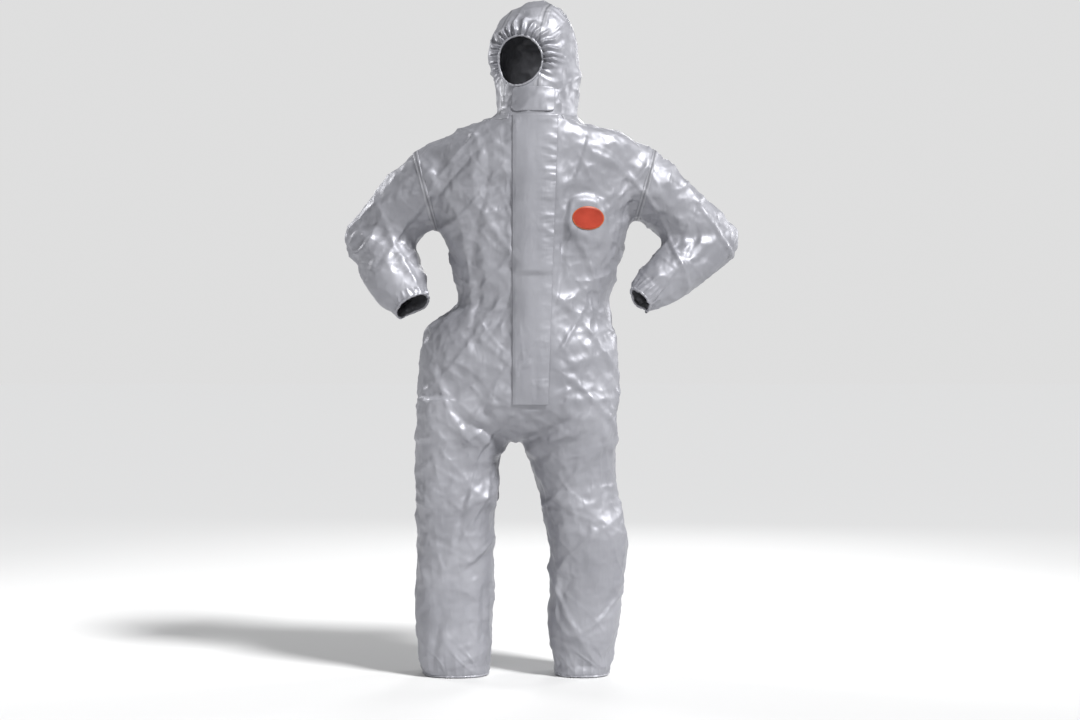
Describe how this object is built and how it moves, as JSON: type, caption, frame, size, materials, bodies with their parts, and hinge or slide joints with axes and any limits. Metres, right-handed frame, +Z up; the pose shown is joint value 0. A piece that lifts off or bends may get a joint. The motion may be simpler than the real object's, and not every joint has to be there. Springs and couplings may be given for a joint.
{
  "type": "chemical protective suit",
  "caption": "Hooded one-piece barrier coverall with elasticated face, wrists, waist and ankles, a taped storm flap over a front zip and a chin flap.",
  "frame": {"origin": "midway between the wearer's shoulder joints, where the suit is carried, 1345 mm above the trouser hems", "axes": "+Z up along the body, +Y to the wearer's back, +X to the wearer's left"},
  "size_m": [1.0408, 0.3213, 1.757],
  "materials": {
    "barrier_fabric": "silver-grey coated nonwoven film laminate, crinkled, satin sheen",
    "seam_tape": "heat-sealed grey seam tape, smooth satin",
    "elastic": "grey covered elastic band",
    "zip_plastic": "grey moulded zip plastic",
    "zip_tape": "woven grey zip tape",
    "adhesive_tape": "pale adhesive strip with release film",
    "badge": "plain orange-red printed patch",
    "label": "plain white woven label"
  },
  "bodies": {
    "torso": {"chest_right": "barrier_fabric", "chest_left": "barrier_fabric", "back_panel": "barrier_fabric", "hip_front_right": "barrier_fabric", "hip_front_left": "barrier_fabric", "seat_right": "barrier_fabric", "seat_left": "barrier_fabric", "crotch_gusset": "barrier_fabric", "waist_elastic": "elastic", "armhole_tape_right": "seam_tape", "armhole_tape_left": "seam_tape", "neck_tape": "seam_tape", "sleeve_head_right": "barrier_fabric", "sleeve_head_left": "barrier_fabric", "leg_groin_right": "barrier_fabric", "leg_groin_left": "barrier_fabric", "hood_collar": "barrier_fabric", "zip_tape_right": "zip_tape", "zip_tape_left": "zip_tape", "zip_coil_right": "zip_plastic", "zip_coil_left": "zip_plastic", "zip_top_stop_right": "zip_plastic", "zip_top_stop_left": "zip_plastic", "zip_bottom_stop": "zip_plastic", "inner_flap": "barrier_fabric", "storm_flap_adhesive": "adhesive_tape", "chest_badge": "badge", "size_label": "label"},
    "hood": {"hood_right": "barrier_fabric", "hood_left": "barrier_fabric", "hood_centre": "barrier_fabric", "chin_right": "barrier_fabric", "chin_left": "barrier_fabric", "face_elastic": "elastic", "chin_flap_adhesive": "adhesive_tape"},
    "chin_flap": {"chin_flap": "barrier_fabric"},
    "storm_flap": {"storm_flap": "barrier_fabric"},
    "zip_slider": {"zip_slider": "zip_plastic"},
    "zip_pull": {"zip_pull": "zip_plastic"},
    "upper_arm_right": {"sleeve_upper_right": "barrier_fabric", "sleeve_elbow_right": "barrier_fabric"},
    "forearm_right": {"sleeve_lower_right": "barrier_fabric", "wrist_hem_right": "barrier_fabric", "wrist_elastic_right": "elastic"},
    "thigh_right": {"leg_thigh_right": "barrier_fabric", "leg_knee_right": "barrier_fabric"},
    "shin_right": {"leg_shin_right": "barrier_fabric", "ankle_hem_right": "barrier_fabric", "ankle_elastic_right": "elastic"},
    "upper_arm_left": {"sleeve_upper_left": "barrier_fabric", "sleeve_elbow_left": "barrier_fabric"},
    "forearm_left": {"sleeve_lower_left": "barrier_fabric", "wrist_hem_left": "barrier_fabric", "wrist_elastic_left": "elastic"},
    "thigh_left": {"leg_thigh_left": "barrier_fabric", "leg_knee_left": "barrier_fabric"},
    "shin_left": {"leg_shin_left": "barrier_fabric", "ankle_hem_left": "barrier_fabric", "ankle_elastic_left": "elastic"}
  },
  "joints": [
    {"name": "storm_flap_hinge", "type": "hinge", "parent": "torso", "child": "storm_flap", "pos_m": [-0.06, -0.15092, -0.275], "axis": [0, 0, -1], "range_deg": [0, 150]},
    {"name": "zip_slider_travel", "type": "slide", "parent": "torso", "child": "zip_slider", "axis": [0, 0, 1], "range_m": [-0.69, 0]},
    {"name": "zip_pull_hinge", "type": "hinge", "parent": "zip_slider", "child": "zip_pull", "pos_m": [0, -0.15082, 0.082], "axis": [-1, 0, 0], "range_deg": [0, 15]},
    {"name": "hood_turn", "type": "hinge", "parent": "torso", "child": "hood", "pos_m": [0, 0, 0.117], "axis": [0, 0, 1], "range_deg": [-20, 40], "deforming": ["hood_collar"]},
    {"name": "chin_flap_hinge", "type": "hinge", "parent": "hood", "child": "chin_flap", "pos_m": [-0.066, -0.124, 0.137], "axis": [0, 0, -1], "range_deg": [0, 120]},
    {"name": "shoulder_right", "type": "hinge", "parent": "torso", "child": "upper_arm_right", "pos_m": [-0.29, 0, -0.055], "axis": [0, 1, 0], "range_deg": [0, 60], "deforming": ["sleeve_head_right"]},
    {"name": "elbow_right", "type": "hinge", "parent": "upper_arm_right", "child": "forearm_right", "pos_m": [-0.422, 0.06, -0.205], "axis": [0.4938, 0.845, -0.2053], "range_deg": [0, 75], "deforming": ["sleeve_elbow_right"]},
    {"name": "shoulder_left", "type": "hinge", "parent": "torso", "child": "upper_arm_left", "pos_m": [0.287, 0, -0.055], "axis": [0, -1, 0], "range_deg": [0, 60], "deforming": ["sleeve_head_left"]},
    {"name": "elbow_left", "type": "hinge", "parent": "upper_arm_left", "child": "forearm_left", "pos_m": [0.456, 0.05, -0.208], "axis": [0.3722, -0.9097, 0.1845], "range_deg": [0, 75], "deforming": ["sleeve_elbow_left"]},
    {"name": "hip_right", "type": "hinge", "parent": "torso", "child": "thigh_right", "pos_m": [-0.205, 0, -0.6], "axis": [-1, 0, 0], "range_deg": [-15, 50], "deforming": ["leg_groin_right"]},
    {"name": "knee_right", "type": "hinge", "parent": "thigh_right", "child": "shin_right", "pos_m": [-0.208, 0, -0.995], "axis": [1, 0, 0], "range_deg": [0, 75], "deforming": ["leg_knee_right"]},
    {"name": "hip_left", "type": "hinge", "parent": "torso", "child": "thigh_left", "pos_m": [0.11, 0, -0.6], "axis": [-1, 0, 0], "range_deg": [-15, 50], "deforming": ["leg_groin_left"]},
    {"name": "knee_left", "type": "hinge", "parent": "thigh_left", "child": "shin_left", "pos_m": [0.131, 0, -0.995], "axis": [1, 0, 0], "range_deg": [0, 75], "deforming": ["leg_knee_left"]}
  ]
}
